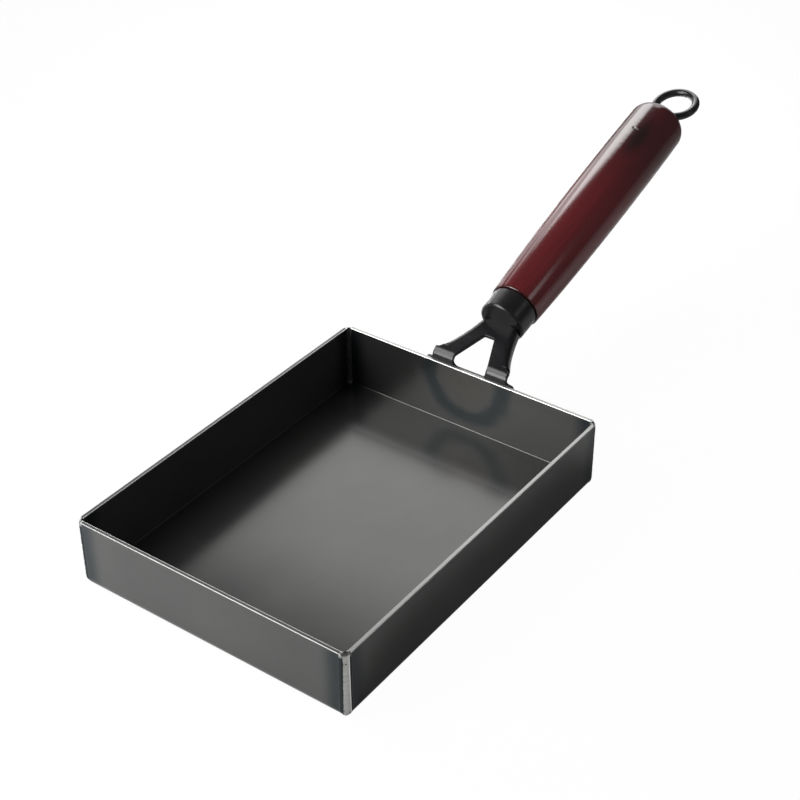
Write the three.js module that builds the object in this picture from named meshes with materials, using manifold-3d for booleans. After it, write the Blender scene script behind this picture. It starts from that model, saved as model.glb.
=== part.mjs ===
// A rectangular omelette pan: a tray folded from sheet steel with welded corners, a stamped bracket with
// two legs, and a ferrule and turned wooden handle that a long eye bolt draws up against the bracket.
// Millimetres, +Z up. The origin is the centre of the tray's underside, and +Y runs towards the handle.
import * as THREE from "three";
import { mergeVertices } from "three/addons/utils/BufferGeometryUtils.js";
import Module from "manifold-3d";

const wasm = await Module();
wasm.setup();

// Tray, a sheet folded up on four sides
const insideWidth = 150;
const insideLength = 200;
const trayHeight = 36.5;
const traySheet = 2;
const trayBend = 2.5; // inside radius of the folds
const rimBreak = 0.3; // edge broken by grinding the rim
const weldStrip = 3.6; // width of the flat ground across each welded corner
const weldRoot = 0.4; // how far each wall stops short of the inside corner

// Handle line, measured from the outer face of the back wall
const handleTilt = THREE.MathUtils.degToRad(17.85);
const axisAboveRim = 3.44;

// Bracket, a stamped and folded sheet
const bracketSheet = 2;
const bracketBend = 1.5; // inside radius of the fold above the rim
const legRootHalf = 22.4; // half width across both legs at the fold
const legInset = 1.2; // how far the legs' flat roots stand inside the line of the turned-down edges
const legWaistAlong = 11.2; // pull of the curved outer edge
const legWaistHalf = 15.4;
const neckHalf = 10.7; // half width where the legs have joined, at the ferrule
const legReach = 31.5; // from the back wall to the ferrule's seat
const windowRootHalf = 10;
const windowTopHalf = 3;
const windowLength = 17.7; // from the fold to the window's blunt top
const windowTopRound = 0.8;
const windowSill = 0.9; // from the rim down to the window's lower edge
const windowCorner = 2.8;
const flangeRelief = 4.5; // from the fold to where the turned-down edges start
const flangeDepth = 6.5;
const flangeBend = 1; // inside radius of the turned-down edges
const shoulderWidth = 4.4; // how far the mounting plate stands out beyond each leg
const shoulderDrop = 2.3; // height of the rim over the shoulders' straight sides
const shoulderRound = 2.4;
const plateDrop = 26.5; // from the rim down to the mounting plate's foot
const plateFoot = 20; // radius of the rounded foot
const tangWidth = 13;
const tangTipWidth = 9;
const tangLength = 14.5; // beyond the ferrule's seat

// Weld bead round the mounting plate
const beadLeg = 2.4;

// Ferrule, a turned cap with a slot for the tang
const ferruleLength = 13.2;
const ferruleFrontDiameter = 25.6;
const ferruleRearDiameter = 26;
const ferruleBore = 22;
const ferruleFrontWall = 3;
const ferruleRound = 1.5;
const ferruleRearRound = 0.5;

// Slotted bush on the tang, tapped for the eye bolt
const bushDiameter = 11;
const bushLength = 14.5;
const bushGrip = 7.5; // how deep the tang sits in the bush
const bushTapRunout = 1; // how far the tapped hole breaks into the slot

// Wooden handle
const handleLength = 157.3;
const handleFrontDiameter = 27.6;
const handleSwellDiameter = 32.4;
const handleSwellFrom = 109; // from the front shoulder to the thickest place
const handleSwellPower = 2.3; // how late the front taper fills out
const handleEndDiameter = 31.6;
const handleEndRound = 7.5;
const handleFrontRound = 0.8;
const spigotLength = 7.3; // turned down to sit inside the ferrule

// Eye bolt, one length of wire
const wireDiameter = 4.5;
const eyeRadius = 11.8; // to the middle of the wire
const eyeNeckRadius = 4; // bend from the shank into the eye
const washerDiameter = 13;
const washerThickness = 0.8;
const washerRound = 0.2;

// Clearances
const fitGap = 0.3; // between pieces drawn up along the handle, and round what passes through them
const weldGap = 0.1; // between the mounting plate, the wall and the bead

// Modelling values
const lap = 0.5; // overlap of pieces that are joined
const margin = 5; // how far a cutter runs past what it cuts
const bendSteps = 6;
const legSteps = 12;
const turnSegments = 36;
const wireSides = 12;
const beadSides = 12;
const beadSteps = 48;
const eyeSteps = 96;

// Places worked out from the sizes
const outsideWidth = insideWidth + 2 * traySheet;
const outsideLength = insideLength + 2 * traySheet;
const backFace = outsideLength / 2;
const axisHeight = trayHeight + axisAboveRim;
const halfSheet = bracketSheet / 2;
const bendOutside = bracketBend + bracketSheet;
const plateFront = weldGap;
const bendCentreY = plateFront + bendOutside;
const bendCentreZ =
  (halfSheet - bendOutside + Math.sin(handleTilt) * bendCentreY) / Math.cos(handleTilt);
const bendEnd = Math.cos(handleTilt) * bendCentreY + Math.sin(handleTilt) * bendCentreZ;
const flangeStart = bendEnd + flangeRelief;
const windowTop = bendEnd + windowLength;
const plateHalf = legRootHalf + shoulderWidth;
const rimBelowAxis = -axisAboveRim;
const ferruleFront = legReach + fitGap;
const ferruleRear = ferruleFront + ferruleLength;
const tangTip = legReach + tangLength;
const bushFront = tangTip + fitGap - bushGrip;
const bushRear = bushFront + bushLength;
const woodFront = ferruleRear + fitGap;
const woodEnd = woodFront + handleLength;
const washerFront = woodEnd + fitGap;
const washerRear = washerFront + washerThickness;
const wireRadius = wireDiameter / 2;
const wireHole = wireRadius + fitGap;
const eyeCentre = washerRear + fitGap + wireRadius + eyeRadius;

// A closed three.js geometry as a solid that can be joined and cut.
function solid(geometry) {
  const bare = geometry.clone();
  bare.deleteAttribute("normal");
  bare.deleteAttribute("uv");
  const merged = mergeVertices(bare, 1e-4);
  const index = merged.index.array;
  const triVerts = [];
  for (let i = 0; i < index.length; i += 3) {
    const corners = [index[i], index[i + 1], index[i + 2]];
    if (new Set(corners).size === 3) triVerts.push(...corners);
  }
  const mesh = new wasm.Mesh({
    numProp: 3,
    vertProperties: merged.attributes.position.array,
    triVerts: new Uint32Array(triVerts),
  });
  return new wasm.Manifold(mesh);
}

// A solid as a three.js geometry again.
function geometryOf(body) {
  const mesh = body.getMesh();
  const geometry = new THREE.BufferGeometry();
  geometry.setAttribute("position", new THREE.BufferAttribute(mesh.vertProperties, 3));
  geometry.setIndex(new THREE.BufferAttribute(mesh.triVerts, 1));
  geometry.computeVertexNormals();
  return geometry;
}

// Extrudes an outline along Z from one height to another.
function alongZ(shape, from, to) {
  const options = { depth: to - from, bevelEnabled: false, curveSegments: bendSteps };
  return new THREE.ExtrudeGeometry(shape, options).translate(0, 0, from);
}

// Extrudes an outline drawn in Y and Z along X.
function alongX(shape, from, to) {
  const axes = new THREE.Matrix4().makeBasis(
    new THREE.Vector3(0, 1, 0),
    new THREE.Vector3(0, 0, 1),
    new THREE.Vector3(1, 0, 0),
  );
  return alongZ(shape, from, to).applyMatrix4(axes);
}

// Extrudes an outline drawn in X and Z along Y.
function alongY(shape, from, to) {
  const axes = new THREE.Matrix4().makeBasis(
    new THREE.Vector3(1, 0, 0),
    new THREE.Vector3(0, 0, 1),
    new THREE.Vector3(0, -1, 0),
  );
  return alongZ(shape, -to, -from).applyMatrix4(axes);
}

// A box between two corners.
function boxBetween(low, high) {
  const size = high.map((value, i) => value - low[i]);
  const middle = high.map((value, i) => (value + low[i]) / 2);
  return new THREE.BoxGeometry(...size).translate(...middle);
}

// A profile of radius and height turned about Y.
function turned(profile) {
  const points = profile.map(([radius, height]) => new THREE.Vector2(radius, height));
  return new THREE.LatheGeometry(points, turnSegments);
}

// The points of an arc, as pairs.
function arcPoints(centreX, centreY, radius, from, to, steps = bendSteps) {
  const points = [];
  for (let i = 0; i <= steps; i++) {
    const angle = from + ((to - from) * i) / steps;
    points.push([centreX + radius * Math.cos(angle), centreY + radius * Math.sin(angle)]);
  }
  return points;
}

function shapeOf(points) {
  return new THREE.Shape(points.map(([x, y]) => new THREE.Vector2(x, y)));
}

// The closed shape of an outline and its mirror image. The outline starts and ends on the centre line.
function mirroredShape(half) {
  const other = half
    .slice(1, -1)
    .reverse()
    .map(([x, y]) => [-x, y]);
  return shapeOf([...half, ...other]);
}

// Joins rings of equally many points into a closed skin. The rings are flat, follow one another in Y and
// run clockwise in X and Z.
function loft(rings) {
  const count = rings[0].length;
  const positions = rings.flat(2);
  const index = [];
  for (let r = 0; r + 1 < rings.length; r++) {
    for (let i = 0; i < count; i++) {
      const a = r * count + i;
      const b = r * count + ((i + 1) % count);
      index.push(a, b, a + count, b, b + count, a + count);
    }
  }
  const flat = rings[0].map(([x, , z]) => new THREE.Vector2(x, z));
  const last = (rings.length - 1) * count;
  for (const [a, b, c] of THREE.ShapeUtils.triangulateShape(flat, [])) {
    index.push(a, b, c);
    index.push(last + a, last + c, last + b);
  }
  const geometry = new THREE.BufferGeometry();
  geometry.setAttribute("position", new THREE.Float32BufferAttribute(positions, 3));
  geometry.setIndex(index);
  return geometry;
}

// The tray's outline across one pair of walls: a flat floor, two folds and two upright walls.
// The rim edge leans in on the outside and out on the inside, and a cutter runs on above the rim.
function trayOutline(half, floor, bend, lean, over) {
  const side = [
    [0, floor],
    ...arcPoints(half - bend, floor + bend, bend, -Math.PI / 2, 0),
    [half, trayHeight - rimBreak],
    [half + lean, trayHeight],
  ];
  if (over > 0) side.push([half + lean, trayHeight + over]);
  side.push([0, trayHeight + over]);
  return mirroredShape(side);
}

function trayBlock(width, length, floor, bend, lean, over) {
  const across = alongY(trayOutline(width / 2, floor, bend, lean, over), -length, length);
  const lengthways = alongX(trayOutline(length / 2, floor, bend, lean, over), -width, width);
  return solid(across).intersect(solid(lengthways));
}

// The tray and its four corner welds. Each weld fills the notch between two wall ends and is ground flat.
function makeTray() {
  const outer = trayBlock(outsideWidth, outsideLength, 0, trayBend + traySheet, -rimBreak, 0);
  const inner = trayBlock(insideWidth, insideLength, traySheet, trayBend, rimBreak, margin);
  let tray = outer.subtract(inner);
  const block = 4 * margin;
  const grinderAway = (block - weldStrip) / 2 / Math.SQRT2;
  const notchAway = margin / 2 - weldRoot;
  const welds = {};
  for (const [endName, end] of [["front", -1], ["back", 1]]) {
    for (const [sideName, side] of [["left", -1], ["right", 1]]) {
      const grinder = new THREE.BoxGeometry(block, block, 4 * trayHeight).rotateZ(Math.PI / 4);
      grinder.translate(side * (outsideWidth / 2 + grinderAway), end * (outsideLength / 2 + grinderAway), 0);
      tray = tray.subtract(solid(grinder));
      const notch = new THREE.BoxGeometry(margin, margin, 4 * trayHeight);
      notch.translate(side * (insideWidth / 2 + notchAway), end * (insideLength / 2 + notchAway), 0);
      welds[`corner_weld_${endName}_${sideName}`] = tray.intersect(solid(notch));
      tray = tray.subtract(solid(notch));
    }
  }
  return { tray, welds };
}

// Half width across the bracket's turned-down outer edges, at a distance along the handle line.
function legHalfAt(along) {
  const a = bendEnd - 2 * legWaistAlong + legReach;
  const b = 2 * (legWaistAlong - bendEnd);
  const t = (-b + Math.sqrt(b * b - 4 * a * (bendEnd - along))) / (2 * a);
  const s = 1 - t;
  return s * s * (legRootHalf + legInset) + 2 * s * t * legWaistHalf + t * t * neckHalf;
}

// The mounting plate's edge from the middle of its foot to the top of its right shoulder, in X and Z.
// Heights are measured from the handle line where it leaves the wall, and grow moves the edge outwards.
function plateEdge(grow) {
  const footCentre = rimBelowAxis - plateDrop + plateFoot;
  const shoulderZ = rimBelowAxis - shoulderDrop;
  const reach = Math.hypot(plateHalf, shoulderZ - footCentre);
  const lean = Math.acos(plateFoot / reach) - Math.atan2(shoulderZ - footCentre, plateHalf);
  return [
    ...arcPoints(0, footCentre, plateFoot + grow, -Math.PI / 2, -lean, 2 * bendSteps),
    [plateHalf + grow, shoulderZ],
  ];
}

// The mounting plate's whole outline, up past the fold, with the window's lower corners.
function plateOutline() {
  const shoulderZ = rimBelowAxis - shoulderDrop;
  const top = bendCentreZ + margin;
  const sill = rimBelowAxis - windowSill;
  const roundEnd = Math.PI / 3;
  const round = arcPoints(plateHalf - shoulderRound, shoulderZ, shoulderRound, 0, roundEnd);
  const cornerX = windowRootHalf - windowCorner;
  const corner = arcPoints(cornerX, sill + windowCorner, windowCorner, 0, -Math.PI / 2);
  return mirroredShape([
    ...plateEdge(0),
    ...round.slice(1),
    [legRootHalf, bendCentreZ - lap],
    [legRootHalf, top],
    [windowRootHalf, top],
    ...corner,
    [0, sill],
  ]);
}

// Turns Y and Z at the back wall into distances along the handle line and square to it.
function alongHandle([y, z]) {
  const c = Math.cos(handleTilt);
  const s = Math.sin(handleTilt);
  return [y * c + z * s, z * c - y * s];
}

// The folded strip seen from the side: the upright mounting plate, the fold and the start of the legs.
function stripProfile() {
  const foot = rimBelowAxis - plateDrop - margin;
  const from = Math.PI;
  const to = Math.PI / 2 + handleTilt;
  const upright = [
    [plateFront + bracketSheet, foot],
    [plateFront, foot],
    ...arcPoints(bendCentreY, bendCentreZ, bendOutside, from, to),
  ].map(alongHandle);
  const inside = arcPoints(bendCentreY, bendCentreZ, bracketBend, to, from).map(alongHandle);
  const legEnd = flangeStart + lap;
  return shapeOf([...upright, [legEnd, halfSheet], [legEnd, -halfSheet], ...inside]);
}

// A section of the legs with their turned-down edges, as a ring of points square to the handle line.
function legSection(along) {
  const half = legHalfAt(along);
  const bend = flangeBend + bracketSheet;
  const centreX = half - bend;
  const centreZ = halfSheet - bend;
  const foot = halfSheet - flangeDepth;
  const right = [
    ...arcPoints(centreX, centreZ, bend, Math.PI / 2, 0),
    [half, foot],
    [half - bracketSheet, foot],
    ...arcPoints(centreX, centreZ, flangeBend, 0, Math.PI / 2),
  ];
  const left = right.map(([x, z]) => [-x, z]).reverse();
  return [...right, ...left].map(([x, z]) => [x, along, z]);
}

// Half width of the window between the legs, at a distance along the handle line.
function windowHalfAt(along) {
  const share = (along - bendEnd) / windowLength;
  return windowRootHalf + (windowTopHalf - windowRootHalf) * share;
}

// One leg from inside the fold to just past where its edge turns down, in X and along the handle line.
function legRootOutline(side) {
  const end = flangeStart + lap;
  const clearOfBend = legHalfAt(flangeStart) - flangeBend - bracketSheet;
  const edge = [];
  for (let i = 0; i <= bendSteps; i++) {
    const along = bendEnd + (flangeRelief * i) / bendSteps;
    edge.push([legHalfAt(along) - legInset, along]);
  }
  const outline = [
    [windowHalfAt(end), end],
    [windowRootHalf, bendEnd],
    [windowRootHalf, 0],
    [legRootHalf, 0],
    ...edge,
    [clearOfBend, flangeStart],
    [clearOfBend, end],
  ];
  return shapeOf(outline.map(([x, along]) => [side * x, along]));
}

// The bracket, in the handle's own frame: Y along the handle line and Z square to it.
function makeBracket() {
  const wide = plateHalf + margin;
  const strip = solid(alongX(stripProfile(), -wide, wide));
  const upright = solid(alongY(plateOutline(), -margin, bendCentreY).rotateX(-handleTilt));
  const leftRoot = solid(alongZ(legRootOutline(-1), -bendOutside, margin));
  const rightRoot = solid(alongZ(legRootOutline(1), -bendOutside, margin));
  const folded = strip.intersect(upright.add(leftRoot).add(rightRoot));
  const sections = [];
  for (let i = 0; i <= legSteps; i++) {
    sections.push(legSection(flangeStart + ((legReach - flangeStart) * i) / legSteps));
  }
  const topCentre = windowTop - windowTopRound;
  const window = mirroredShape([
    [0, bendEnd],
    [windowRootHalf, bendEnd],
    [windowHalfAt(topCentre), topCentre],
    ...arcPoints(windowTopHalf - windowTopRound, topCentre, windowTopRound, 0, Math.PI / 2),
    [0, windowTop],
  ]);
  const legs = solid(loft(sections)).subtract(solid(alongZ(window, -margin, margin)));
  const tang = mirroredShape([
    [0, legReach - lap],
    [tangWidth / 2, legReach - lap],
    [tangWidth / 2, ferruleFront + ferruleFrontWall + fitGap],
    [tangTipWidth / 2, bushFront - fitGap],
    [tangTipWidth / 2, tangTip],
    [0, tangTip],
  ]);
  return folded.add(legs).add(solid(alongZ(tang, -halfSheet, halfSheet)));
}

// The bead that joins the mounting plate's sides and foot to the back wall.
function makeBracketWeld() {
  const edge = plateEdge(0);
  const route = [...edge.map(([x, z]) => [-x, z]).reverse(), ...edge.slice(1)];
  const points = route.map(([x, z]) => new THREE.Vector3(x, backFace, axisHeight + z));
  const section = new THREE.Shape().absarc(0, 0, beadLeg, 0, 2 * Math.PI);
  const options = {
    steps: beadSteps,
    curveSegments: beadSides / 2,
    extrudePath: new THREE.CatmullRomCurve3(points, false, "centripetal"),
  };
  const bead = solid(new THREE.ExtrudeGeometry(section, options));
  const wide = plateHalf + 2 * beadLeg;
  const wall = boxBetween([-wide, backFace - margin, -margin], [wide, backFace, axisHeight]);
  const rim = rimBelowAxis + margin;
  const grown = mirroredShape([...plateEdge(weldGap), [plateHalf + weldGap, rim], [0, rim]]);
  const plate = alongY(grown, backFace - margin, backFace + margin).translate(0, 0, axisHeight);
  return bead.subtract(solid(wall)).subtract(solid(plate));
}

// The ferrule: a cap with a rounded front, a bore for the handle's spigot and a slot for the tang.
function makeFerrule() {
  const front = ferruleFrontDiameter / 2;
  const rear = ferruleRearDiameter / 2;
  const bore = ferruleBore / 2;
  const cap = turned([
    [0, ferruleFront],
    ...arcPoints(front - ferruleRound, ferruleFront + ferruleRound, ferruleRound, -Math.PI / 2, 0),
    ...arcPoints(rear - ferruleRearRound, ferruleRear - ferruleRearRound, ferruleRearRound, 0, Math.PI / 2),
    [bore, ferruleRear],
    [bore, ferruleFront + ferruleFrontWall],
    [0, ferruleFront + ferruleFrontWall],
  ]);
  const slotHalf = tangWidth / 2 + fitGap;
  const slotHigh = halfSheet + fitGap;
  const slotEnd = ferruleFront + ferruleFrontWall + fitGap;
  const slot = boxBetween([-slotHalf, legReach, -slotHigh], [slotHalf, slotEnd, slotHigh]);
  return solid(cap).subtract(solid(slot));
}

// The bush: slotted in front for the tang, tapped behind for the eye bolt.
function makeBush() {
  const radius = bushDiameter / 2;
  const tapFront = bushFront + bushGrip - bushTapRunout;
  const body = turned([
    [0, bushFront],
    [radius, bushFront],
    [radius, bushRear],
    [wireHole, bushRear],
    [wireHole, tapFront],
    [0, tapFront],
  ]);
  const slotHigh = halfSheet + fitGap / 2;
  const slot = boxBetween(
    [-bushDiameter, bushFront - margin, -slotHigh],
    [bushDiameter, bushFront + bushGrip, slotHigh],
  );
  return solid(body).subtract(solid(slot));
}

// The handle's radius at a distance behind its front shoulder: a taper that swells, then falls off.
function handleRadiusAt(distance) {
  const swell = handleSwellDiameter / 2;
  if (distance < handleSwellFrom) {
    const left = 1 - distance / handleSwellFrom;
    return swell - (swell - handleFrontDiameter / 2) * left ** handleSwellPower;
  }
  const past = (distance - handleSwellFrom) / (handleLength - handleEndRound - handleSwellFrom);
  return swell - (swell - handleEndDiameter / 2) * past ** 2;
}

// The wooden handle, turned, bored through for the eye bolt and counterbored for the bush.
function makeHandle() {
  const spigot = ferruleBore / 2 - fitGap;
  const spigotFront = woodFront - spigotLength;
  const counterbore = bushDiameter / 2 + fitGap;
  const counterboreEnd = bushRear + fitGap;
  const bodySteps = 3 * bendSteps;
  const body = [];
  for (let i = 0; i <= bodySteps; i++) {
    const distance = handleFrontRound + ((handleLength - handleEndRound - handleFrontRound) * i) / bodySteps;
    body.push([handleRadiusAt(distance), woodFront + distance]);
  }
  const endCentre = handleEndDiameter / 2 - handleEndRound;
  const end = arcPoints(endCentre, woodEnd - handleEndRound, handleEndRound, 0, Math.PI / 2);
  const profile = [
    [counterbore, spigotFront],
    [spigot, spigotFront],
    [spigot, woodFront],
    [handleRadiusAt(handleFrontRound) - handleFrontRound, woodFront],
    ...body,
    ...end.slice(1),
    [wireHole, woodEnd],
    [wireHole, counterboreEnd],
    [counterbore, counterboreEnd],
    [counterbore, spigotFront],
  ];
  return turned(profile);
}

// The washer under the eye, with its edges broken.
function makeWasher() {
  const radius = washerDiameter / 2;
  return turned([
    [wireHole, washerFront],
    [radius - washerRound, washerFront],
    [radius, washerFront + washerRound],
    [radius, washerRear - washerRound],
    [radius - washerRound, washerRear],
    [wireHole, washerRear],
    [wireHole, washerFront],
  ]);
}

// The middle line of the eye bolt's wire: a straight shank, a neck bent to one side, and one turn of
// the eye, which sinks by the wire's own thickness so that its end lies under the neck.
class EyeWire extends THREE.Curve {
  constructor() {
    super();
    this.neckTurn = Math.asin(eyeNeckRadius / (eyeRadius + eyeNeckRadius));
    this.neckStart = eyeCentre - (eyeRadius + eyeNeckRadius) * Math.cos(this.neckTurn);
    this.shankFront = bushFront + bushGrip + fitGap;
    this.shankLength = this.neckStart - this.shankFront;
    this.neckLength = eyeNeckRadius * (Math.PI / 2 - this.neckTurn);
    this.eyeTurn = 2 * Math.PI - 2 * this.neckTurn;
    this.eyeLength = eyeRadius * this.eyeTurn;
  }

  getPoint(share, target = new THREE.Vector3()) {
    let run = share * (this.shankLength + this.neckLength + this.eyeLength);
    if (run <= this.shankLength) return target.set(0, this.shankFront + run, 0);
    run -= this.shankLength;
    if (run <= this.neckLength) {
      const angle = run / eyeNeckRadius;
      const aside = eyeNeckRadius * (1 - Math.cos(angle));
      return target.set(aside, this.neckStart + eyeNeckRadius * Math.sin(angle), 0);
    }
    run -= this.neckLength;
    const turn = run / eyeRadius;
    const angle = this.neckTurn + turn;
    const drop = ((wireDiameter + fitGap) * turn) / this.eyeTurn;
    return target.set(eyeRadius * Math.sin(angle), eyeCentre - eyeRadius * Math.cos(angle), -drop);
  }
}

function makeEyeBolt() {
  const section = new THREE.Shape().absarc(0, 0, wireRadius, 0, 2 * Math.PI);
  const options = { steps: eyeSteps, curveSegments: wireSides / 2, extrudePath: new EyeWire() };
  return new THREE.ExtrudeGeometry(section, options);
}

// Finishes
function finish(color, roughness, metalness) {
  return () => new THREE.MeshStandardMaterial({ color, roughness, metalness });
}

const bluedSteel = finish(0x3b3e40, 0.35, 1);
const groundSteel = finish(0xb4b4b0, 0.4, 1);
const blackPaint = finish(0x1c1d1e, 0.4, 0.2);
const blackGloss = finish(0x101112, 0.25, 0);
const lacqueredWood = finish(0x4a1716, 0.25, 0);
const platedSteel = finish(0x9a9a94, 0.35, 1);

function named(name, geometry, material) {
  const mesh = new THREE.Mesh(geometry, material());
  mesh.name = name;
  return mesh;
}

const { tray, welds } = makeTray();
const pan = new THREE.Group();
pan.add(named("pan_tray", geometryOf(tray), bluedSteel));
for (const [name, weld] of Object.entries(welds)) pan.add(named(name, geometryOf(weld), groundSteel));
pan.add(named("bracket_weld", geometryOf(makeBracketWeld()), blackPaint));

const handle = new THREE.Group();
handle.position.set(0, backFace, axisHeight);
handle.rotation.x = handleTilt;
handle.add(named("handle_bracket", geometryOf(makeBracket()), blackPaint));
handle.add(named("tang_bush", geometryOf(makeBush()), platedSteel));
handle.add(named("ferrule", geometryOf(makeFerrule()), blackGloss));
handle.add(named("wood_handle", makeHandle(), lacqueredWood));
handle.add(named("eye_washer", makeWasher(), blackPaint));
handle.add(named("eye_bolt", makeEyeBolt(), blackGloss));
pan.add(handle);

export default pan;
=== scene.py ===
"""Looks of a rectangular omelette pan: a folded steel tray with welded corners, a stamped bracket,
a ferrule, a turned wooden handle and a hanging eye.

Lengths are in millimetres until a mesh is made, which is in metres.
"""
import math

import bmesh
import bpy
from mathutils import Matrix, Vector, kdtree, noise
from mathutils.geometry import delaunay_2d_cdt


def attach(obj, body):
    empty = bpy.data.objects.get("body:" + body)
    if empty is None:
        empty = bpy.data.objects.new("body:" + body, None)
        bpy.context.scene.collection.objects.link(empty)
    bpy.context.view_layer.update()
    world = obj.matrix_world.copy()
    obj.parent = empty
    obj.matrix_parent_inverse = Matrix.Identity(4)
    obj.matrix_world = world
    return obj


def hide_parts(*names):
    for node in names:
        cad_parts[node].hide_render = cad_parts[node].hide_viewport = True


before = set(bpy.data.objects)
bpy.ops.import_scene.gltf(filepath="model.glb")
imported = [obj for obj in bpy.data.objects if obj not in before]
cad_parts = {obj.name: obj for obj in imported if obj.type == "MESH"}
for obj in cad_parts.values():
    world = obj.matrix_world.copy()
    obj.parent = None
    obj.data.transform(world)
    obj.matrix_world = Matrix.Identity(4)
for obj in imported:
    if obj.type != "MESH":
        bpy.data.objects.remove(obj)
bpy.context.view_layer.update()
scene = bpy.context.scene
MM = 0.001

# Tray
HALF_X, HALF_Y, RIM = 77.0, 102.0, 36.5
SHEET, OUTER_BEND = 2.0, 4.5
CREASE = 0.3  # radius of the fold as it looks inside
RIM_EDGE = 0.35  # rounding of the rim's two corners
SEAM = 3.8  # how far from a corner's outer faces the wall gives way to weld metal

# Corner welds
STRIP_FRONT, STRIP_SIDE = 2.55, 3.5  # reach of the ground strip along each wall
STRIP_SWELL = 0.42  # how far the strip bulges in its middle
CREST = 1.7  # rounding at the rim
FOOT_TOP = 5.3  # below this height the levels are closer together, for the rounded foot
HOLLOW = (0.0758, -0.1006, 0.0310)  # the one large pit, in metres

# Handle line
TILT = math.radians(17.85)
COS, SIN = math.cos(TILT), math.sin(TILT)
AXIS_Z = RIM + 3.44  # its height at the back wall

# Bracket: the sheet, the fold above the rim and the turned-down edges of the legs
HALF_T = 1.0  # half of the sheet's thickness
WALL_GAP = 0.1
PLATE_Y = WALL_GAP + HALF_T
BEND_MID = 4.2  # radius of the fold in the middle of the sheet
BEND_Y = WALL_GAP + BEND_MID + HALF_T
BEND_Z = (SIN * BEND_Y - BEND_MID) / COS
BEND_RUN = BEND_MID * (math.pi / 2 - TILT)
BEND_END = COS * BEND_Y + SIN * BEND_Z
LEG_START, LEG_PULL, REACH = 2.98, 11.2, 31.5  # control points of the legs' outer curve along the handle line
LEG_WIDTHS = (23.6, 15.4, 10.7)  # their half widths
FLANGE_START = 7.48
FLANGE_MID = 2.0  # radius of the turned-down edge in the middle of the sheet
FLANGE_FOLD = 3.0
FLANGE_FOOT = FLANGE_MID * math.pi / 2 + 3.5

# Bracket: the outline of its blank
PLATE_HALF, FOOT_R = 26.8, 20.0
FOOT_Z = RIM - 26.5 + FOOT_R
SHOULDER_Z, SHOULDER_R = RIM - 2.3, 2.4
SHOULDER_RISE = SHOULDER_Z - FOOT_Z
PLATE_LEAN = math.degrees(math.acos(FOOT_R / math.hypot(PLATE_HALF, SHOULDER_RISE))
                          - math.atan2(SHOULDER_RISE, PLATE_HALF))
ROOT_HALF = 22.4  # half width at the fold
RAW_INSET, RELIEF_INSET = 1.2, 3.3  # from the legs' curve in to the raw edge and to the relief's end
RELIEF = 0.55  # width of the relief before a flange
TANG_WIDE, TANG_NARROW = 6.5, 4.5
TANG_SHOULDER, TANG_NECK, TANG_END = 35.1, 38.5, 46.0
WINDOW_SILL = RIM - 0.9
WINDOW_HALF, WINDOW_TIP_HALF, WINDOW_TIP = 10.0, 3.0, 20.68
BLANK_EDGE = 0.32  # rounding of the cut edges
OUTLINE_STEP, WINDOW_STEP, FACE_STEP = 0.55, 0.45, 0.7

# Weld bead round the plate: radius, length of a ripple, and length of the run-out at each end
BEAD_R, BEAD_PITCH, BEAD_RUN_OUT = 2.28, 1.7, 2.2
BEAD_STEP, BEAD_SIDES = 0.25, 15

# Ferrule
FERRULE_FRONT, FERRULE_REAR = 31.8, 45.0
FERRULE_NOSE_R, FERRULE_R, FERRULE_BORE = 12.8, 13.0, 11.0
FERRULE_FILLET, FERRULE_LIP, FERRULE_FLOOR = 1.5, 0.5, 3.0
SLOT_X, SLOT_N = 6.8, 1.3  # half sizes of the slot for the tang

# Grip
WOOD_FRONT, WOOD_LENGTH = 45.3, 157.3
WOOD_END = WOOD_FRONT + WOOD_LENGTH
WOOD_R, WOOD_SWELL = 16.2, 109.0  # the greatest radius, and how far behind the front it is
WOOD_NECK, WOOD_TAIL = 2.4, 0.4  # how much less the radius is at the two ends
WOOD_EDGE = 0.4
DOME, DOME_R = 7.5, 15.785  # rounding of the tail, and the radius where it starts
SPIGOT_R, SPIGOT, SPIGOT_EDGE = 10.7, 7.3, 0.3
BORE_R, BORE_EDGE = 2.6, 0.5
COUNTERBORE_R, COUNTERBORE_END = 5.8, 53.6
NICK_X, NICK_ALONG = -0.2, 175.3
NICK_HALF_X, NICK_HALF_ALONG, NICK_DEPTH = 1.7, 0.75, 0.7

# Washer and eye bolt
WASHER_FRONT, WASHER_REAR = WOOD_END + 0.3, WOOD_END + 1.1
WASHER_R, WASHER_BORE, WASHER_EDGE = 6.5, 2.55, 0.2
WIRE, WIRE_EASE, WIRE_EDGE = 2.25, 0.015, 0.35
EYE_R, NECK_R = 11.8, 4.0
EYE_CENTRE = WASHER_REAR + 0.3 + WIRE + EYE_R
EYE_PITCH, EYE_STEPS = 4.8, 144  # how far the turn steps down, and its number of steps
NECK_STEPS = 12
SHANK_START, SHANK_STEPS = 46.6, 20


def on_handle(x, a, n):
    """A point given across, along and square to the handle line, in the pan's frame."""
    return (x, HALF_Y + a * COS - n * SIN, AXIS_Z + a * SIN + n * COS)


def arc(cx, cy, radius, start, end, steps):
    """Points of an arc, its angles in degrees."""
    turn = [math.radians(start + (end - start) * i / steps) for i in range(steps + 1)]
    return [(cx + radius * math.cos(t), cy + radius * math.sin(t)) for t in turn]


# Shader nodes

def node(tree, kind, inputs=None, **settings):
    """A new node with its settings, and each named or numbered input set or linked."""
    made = tree.nodes.new(kind)
    for key, value in settings.items():
        setattr(made, key, value)
    for key, value in (inputs or {}).items():
        socket = made.inputs[key]
        if isinstance(value, bpy.types.NodeSocket):
            tree.links.new(value, socket)
        else:
            socket.default_value = value
    return made


def maths(tree, operation, *values):
    return node(tree, "ShaderNodeMath", dict(enumerate(values)), operation=operation).outputs[0]


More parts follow.
